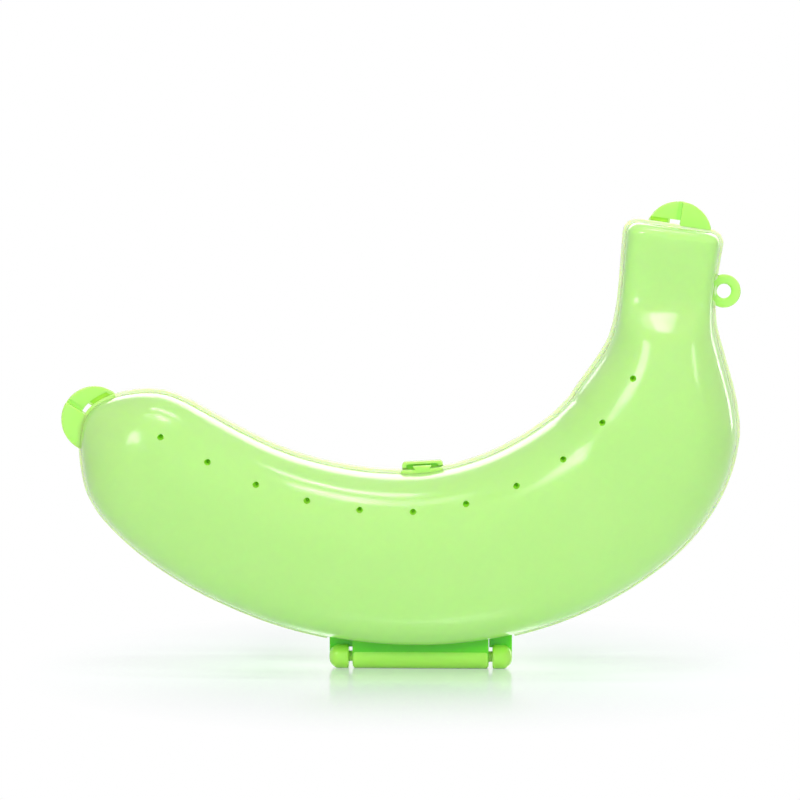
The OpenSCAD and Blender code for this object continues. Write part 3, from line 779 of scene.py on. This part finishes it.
# Seen by the camera, the table is mixed with white glow: a quarter of it beside the case, painted light that thins
# the case's shadow, and all of it from 12 cm out.
far = add(tree, "ShaderNodeVectorMath", {0: place}, operation="LENGTH")
away = add(tree, "ShaderNodeMapRange", {"Value": far.outputs["Value"], "From Min": WHITE_FROM,
                                        "From Max": WHITE_TO, "To Min": WHITE_LEAST}, clamp=True)
blank = add(tree, "ShaderNodeMath", {0: in_sight(tree), 1: away.outputs["Result"]}, operation="MULTIPLY")
white = add(tree, "ShaderNodeEmission", {"Color": (1, 1, 1, 1), "Strength": 1.0})
mix = add(tree, "ShaderNodeMixShader", {0: blank.outputs[0], 1: table.outputs[0], 2: white.outputs[0]})
add(tree, "ShaderNodeOutputMaterial", {"Surface": mix.outputs[0]})
floor = make_piece("table_top", floor_mesh, floor_finish)

world = bpy.data.worlds.new("white_surround")
bpy.context.scene.world = world
world.use_nodes = True
tree = world.node_tree
tree.nodes.clear()
level = add(tree, "ShaderNodeMapRange", {"Value": in_sight(tree), "To Min": SURROUND_LIGHT, "To Max": 1.0})
surround = add(tree, "ShaderNodeBackground", {"Color": (1, 1, 1, 1), "Strength": level.outputs["Result"]})
add(tree, "ShaderNodeOutputWorld", {"Surface": surround.outputs[0]})


def softbox(name, place, aim, width, height, power):
    """A rectangular lamp at a place, aimed at a point, in metres and watts."""
    lamp = bpy.data.lights.new(name, "AREA")
    lamp.shape, lamp.size, lamp.size_y, lamp.energy = "RECTANGLE", width, height, power
    piece = bpy.data.objects.new(name, lamp)
    back = Vector(place) - Vector(aim)
    piece.matrix_world = Matrix.Translation(place) @ back.to_track_quat("Z", "Y").to_matrix().to_4x4()
    bpy.context.scene.collection.objects.link(piece)
    return piece


softbox("overhead_strip", (0.1, -0.02, 1.1), (0.1, 0.0, 0.06), 0.44, 0.12, 2.0)
softbox("overhead_front_box", (-0.08, -0.38, 1.1), (-0.08, 0.0, 0.1), 0.5, 0.2, 1.0)
softbox("overhead_core", (0.09, -0.36, 1.09), (0.09, 0.0, 0.1), 0.2, 0.2, 1.0)
softbox("left_front_box", (-0.8, -1.2, 0.85), (0.0, 0.0, 0.08), 0.45, 0.4, 5)
softbox("right_front_box", (1.0, -0.55, 0.47), (0.08, 0.0, 0.1), 0.14, 0.12, 0.5)
softbox("right_strip", (0.85, 0.75, 0.3), (0.08, 0.0, 0.1), 0.1, 0.8, 1.9)
softbox("rear_softbox", (0.1, 0.9, 0.62), (0, 0, 0.08), 1.5, 0.5, 8)
fill = softbox("front_fill", (0.2, -1.4, 0.72), (0, 0, 0.07), 1.4, 0.35, 12.8)
fill.visible_glossy = False

# Camera. A long lens 1.2 m away, a little to the right and a little above, with the case filling the frame.
FRAME_WIDTH = 0.2352
VIEW_CENTRE = Vector((-0.00613, 0, 0.07949))
VIEW_DISTANCE = 1.2
azimuth, elevation = math.radians(2), math.radians(5)
lens = bpy.data.cameras.new("photo_camera")
lens.sensor_width = 36
lens.lens = lens.sensor_width * VIEW_DISTANCE / FRAME_WIDTH
camera = bpy.data.objects.new("photo_camera", lens)
towards = Vector((math.sin(azimuth) * math.cos(elevation), -math.cos(azimuth) * math.cos(elevation),
                  math.sin(elevation)))
camera.location = VIEW_CENTRE + towards * VIEW_DISTANCE
camera.rotation_euler = towards.to_track_quat("Z", "Y").to_euler()
bpy.context.scene.collection.objects.link(camera)
bpy.context.scene.camera = camera
bpy.context.scene.view_settings.view_transform = "Standard"
